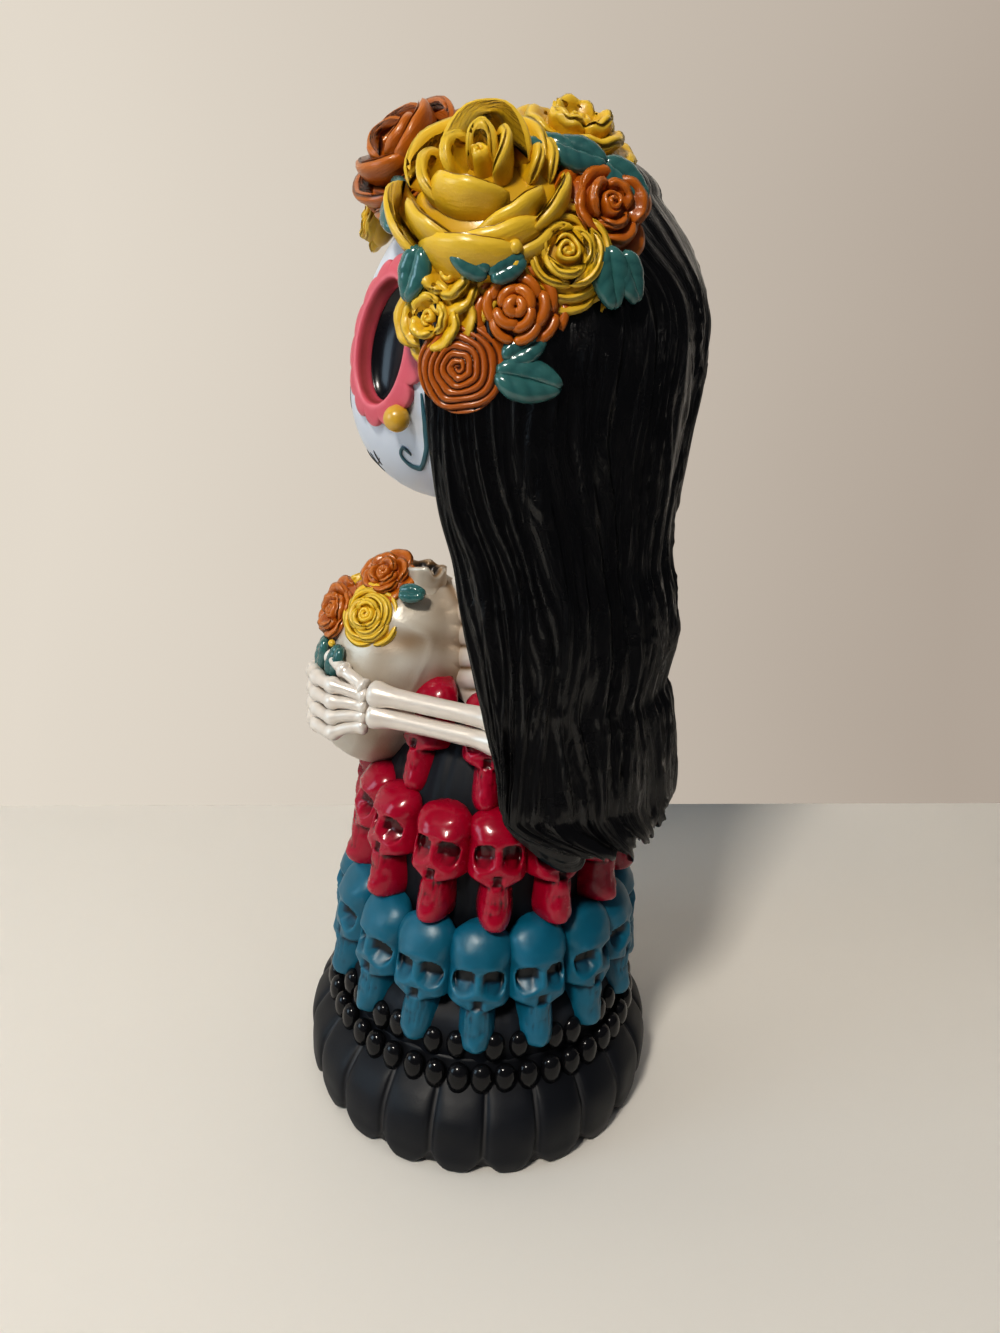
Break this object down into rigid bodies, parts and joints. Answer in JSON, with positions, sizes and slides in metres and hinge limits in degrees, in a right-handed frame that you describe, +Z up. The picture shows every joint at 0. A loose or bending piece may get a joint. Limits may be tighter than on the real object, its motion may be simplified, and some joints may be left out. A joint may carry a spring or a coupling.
{
  "type": "resin catrina figure",
  "caption": "Painted cast figure of a skeletal lady with long black hair, a crown of roses, a heart in her hands and a skirt of skull rings over beads and a lobed hem.",
  "frame": {"origin": "middle of the flat underside of the hem", "axes": "+Z up from the base to the crown, the figure faces -Y, +X to her left"},
  "size_m": [0.1052, 0.095, 0.2393],
  "materials": {
    "base_black": "satin paint on cast resin",
    "hair_black": "gloss paint on cast resin",
    "skull_blue": "satin paint on cast resin",
    "skull_red": "gloss paint on cast resin",
    "pearl": "pearl paint with a brown wash",
    "face_white": "satin paint on cast resin",
    "frame_pink": "satin paint on cast resin",
    "rose_yellow": "gloss paint with an ochre wash",
    "rose_orange": "gloss paint with a brown wash",
    "leaf_teal": "gloss paint on cast resin"
  },
  "bodies": {
    "root": {"catrina_figure": "base_black"}
  },
  "joints": []
}
